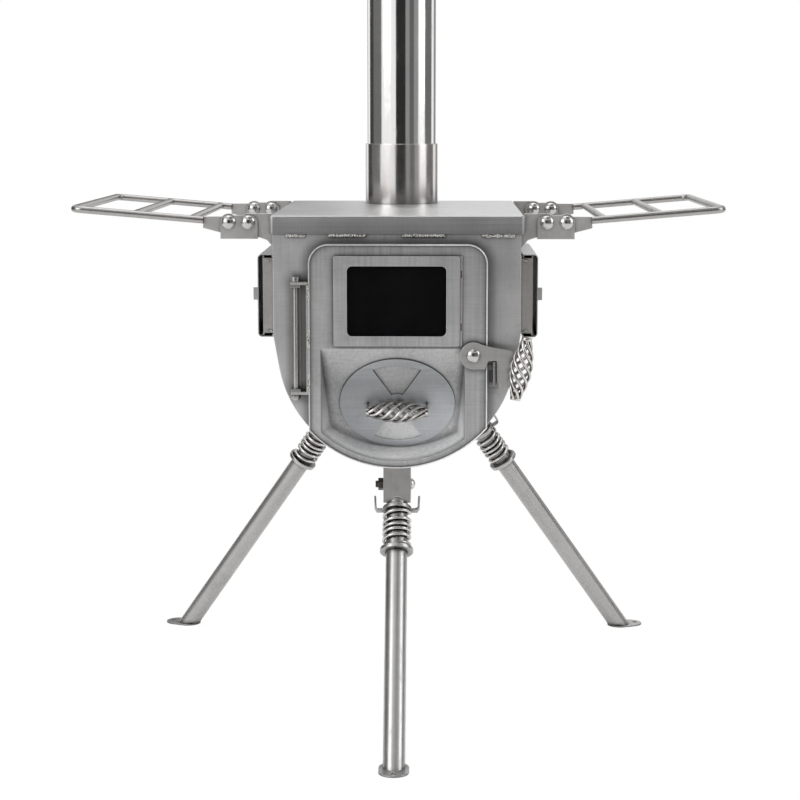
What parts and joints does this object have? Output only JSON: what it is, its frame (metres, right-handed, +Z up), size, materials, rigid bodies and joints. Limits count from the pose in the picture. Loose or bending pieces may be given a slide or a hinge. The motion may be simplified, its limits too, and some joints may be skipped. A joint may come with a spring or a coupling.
{
  "type": "tent wood stove",
  "caption": "Folding stainless tent stove with a round-bellied firebox, glazed door with air damper, side windows, folding side racks, flue pipe and splayed sprung-lock legs.",
  "frame": {"origin": "on the ground under the middle of the whole stove's box", "axes": "+Z up, -Y towards the door, +X to the right seen from the door"},
  "size_m": [0.764, 0.7022, 1.0041],
  "materials": {
    "sheet_steel": "satin rolled stainless sheet",
    "door_steel": "stainless sheet brushed upright",
    "pipe_steel": "mirror-rolled stainless pipe",
    "welded_steel": "stainless plate with heat-tinted welds",
    "bolt_steel": "dark oxide bolt steel",
    "fire_glass": "dark heat-proof glass",
    "bright_wire": "bright drawn wire",
    "rivet_steel": "polished rivet heads",
    "tube_steel": "drawn stainless tube and rod"
  },
  "bodies": {
    "firebox": {"firebox_shell": "sheet_steel", "front_plate": "sheet_steel", "rear_plate": "sheet_steel", "lid_plate": "sheet_steel", "flue_collar": "pipe_steel", "flue_baffle": "sheet_steel", "fire_grate": "welded_steel", "hinge_bracket": "welded_steel", "hinge_bolt": "bolt_steel", "latch_catch": "sheet_steel", "left_window_box": "welded_steel", "right_window_box": "welded_steel", "left_window_glass": "fire_glass", "right_window_glass": "fire_glass", "left_rack_gussets": "welded_steel", "right_rack_gussets": "welded_steel", "front_leg_socket": "welded_steel", "left_leg_socket": "welded_steel", "right_leg_socket": "welded_steel", "leg_pivot_bolts": "bolt_steel"},
    "flue": {"flue_pipe": "pipe_steel"},
    "door": {"door_panel": "door_steel", "window_frame": "door_steel", "door_glass": "fire_glass", "glass_retainer": "sheet_steel", "door_hinge_strap": "welded_steel", "latch_rivet": "rivet_steel", "damper_bolt": "rivet_steel"},
    "damper": {"damper_disc": "door_steel", "damper_handle_wires": "bright_wire", "damper_handle_ends": "bright_wire"},
    "latch": {"latch_lever": "door_steel", "latch_handle_wires": "bright_wire", "latch_handle_ends": "bright_wire"},
    "left_shutter": {"left_window_shutter": "sheet_steel"},
    "right_shutter": {"right_window_shutter": "sheet_steel"},
    "left_rack_link": {"left_rack_links": "sheet_steel", "left_rack_rivets": "rivet_steel"},
    "right_rack_link": {"right_rack_links": "sheet_steel", "right_rack_rivets": "rivet_steel"},
    "left_rack": {"left_rack_arms": "welded_steel", "left_rack_frame": "tube_steel"},
    "right_rack": {"right_rack_arms": "welded_steel", "right_rack_frame": "tube_steel"},
    "front_leg": {"front_leg_tube": "tube_steel", "front_foot_plate": "tube_steel", "front_leg_collar": "tube_steel", "front_leg_spring": "bright_wire"},
    "front_ring": {"front_lock_ring": "tube_steel"},
    "left_leg": {"left_leg_tube": "tube_steel", "left_foot_plate": "tube_steel", "left_leg_collar": "tube_steel", "left_leg_spring": "bright_wire"},
    "left_ring": {"left_lock_ring": "tube_steel"},
    "right_leg": {"right_leg_tube": "tube_steel", "right_foot_plate": "tube_steel", "right_leg_collar": "tube_steel", "right_leg_spring": "bright_wire"},
    "right_ring": {"right_lock_ring": "tube_steel"}
  },
  "joints": [
    {"name": "door_swing", "type": "hinge", "parent": "firebox", "child": "door", "pos_m": [-0.1165, -0.15847, 0.45], "axis": [0, 0, -1], "range_deg": [0, 165]},
    {"name": "damper_turn", "type": "hinge", "parent": "door", "child": "damper", "pos_m": [0, -0.11758, 0.38065], "axis": [0, -0.8387, -0.5446], "range_deg": [0, 90]},
    {"name": "latch_lift", "type": "hinge", "parent": "door", "child": "latch", "pos_m": [0.0886, -0.16597, 0.4419], "axis": [0, -1, 0], "range_deg": [0, 40]},
    {"name": "flue_lift", "type": "slide", "parent": "firebox", "child": "flue", "axis": [0, 0, 1], "range_m": [0, 0.07]},
    {"name": "left_link_lift", "type": "hinge", "parent": "firebox", "child": "left_rack_link", "pos_m": [-0.1738, 0.05003, 0.592], "axis": [0, 1, 0], "range_deg": [0, 30]},
    {"name": "left_rack_fold", "type": "hinge", "parent": "left_rack_link", "child": "left_rack", "pos_m": [-0.1964, 0.05003, 0.592], "axis": [0, 1, 0], "range_deg": [0, 90]},
    {"name": "left_shutter_slide", "type": "slide", "parent": "firebox", "child": "left_shutter", "axis": [0, 1, 0], "range_m": [0, 0.14]},
    {"name": "right_link_lift", "type": "hinge", "parent": "firebox", "child": "right_rack_link", "pos_m": [0.1738, 0.05003, 0.592], "axis": [0, -1, 0], "range_deg": [0, 30]},
    {"name": "right_rack_fold", "type": "hinge", "parent": "right_rack_link", "child": "right_rack", "pos_m": [0.1964, 0.05003, 0.592], "axis": [0, -1, 0], "range_deg": [0, 90]},
    {"name": "right_shutter_slide", "type": "slide", "parent": "firebox", "child": "right_shutter", "axis": [0, 1, 0], "range_m": [0, 0.14]},
    {"name": "front_leg_fold", "type": "hinge", "parent": "firebox", "child": "front_leg", "pos_m": [0, -0.11697, 0.283], "axis": [1, 0, 0], "range_deg": [0, 120]},
    {"name": "front_ring_slide", "type": "slide", "parent": "front_leg", "child": "front_ring", "axis": [0, -0.5793, -0.8151], "range_m": [0, 0.012], "stiffness_N_per_m": 900, "springref_m": -0.015, "deforming": ["front_leg_spring"]},
    {"name": "left_leg_fold", "type": "hinge", "parent": "firebox", "child": "left_leg", "pos_m": [-0.09005, 0.23503, 0.317], "axis": [-0.8271, 0, 0.5621], "range_deg": [0, 100]},
    {"name": "left_ring_slide", "type": "slide", "parent": "left_leg", "child": "left_ring", "axis": [-0.5463, 0.2351, -0.8039], "range_m": [0, 0.012], "stiffness_N_per_m": 900, "springref_m": -0.015, "deforming": ["left_leg_spring"]},
    {"name": "right_leg_fold", "type": "hinge", "parent": "firebox", "child": "right_leg", "pos_m": [0.09005, 0.23503, 0.317], "axis": [-0.8271, 0, -0.5621], "range_deg": [0, 100]},
    {"name": "right_ring_slide", "type": "slide", "parent": "right_leg", "child": "right_ring", "axis": [0.5463, 0.2351, -0.8039], "range_m": [0, 0.012], "stiffness_N_per_m": 900, "springref_m": -0.015, "deforming": ["right_leg_spring"]}
  ]
}
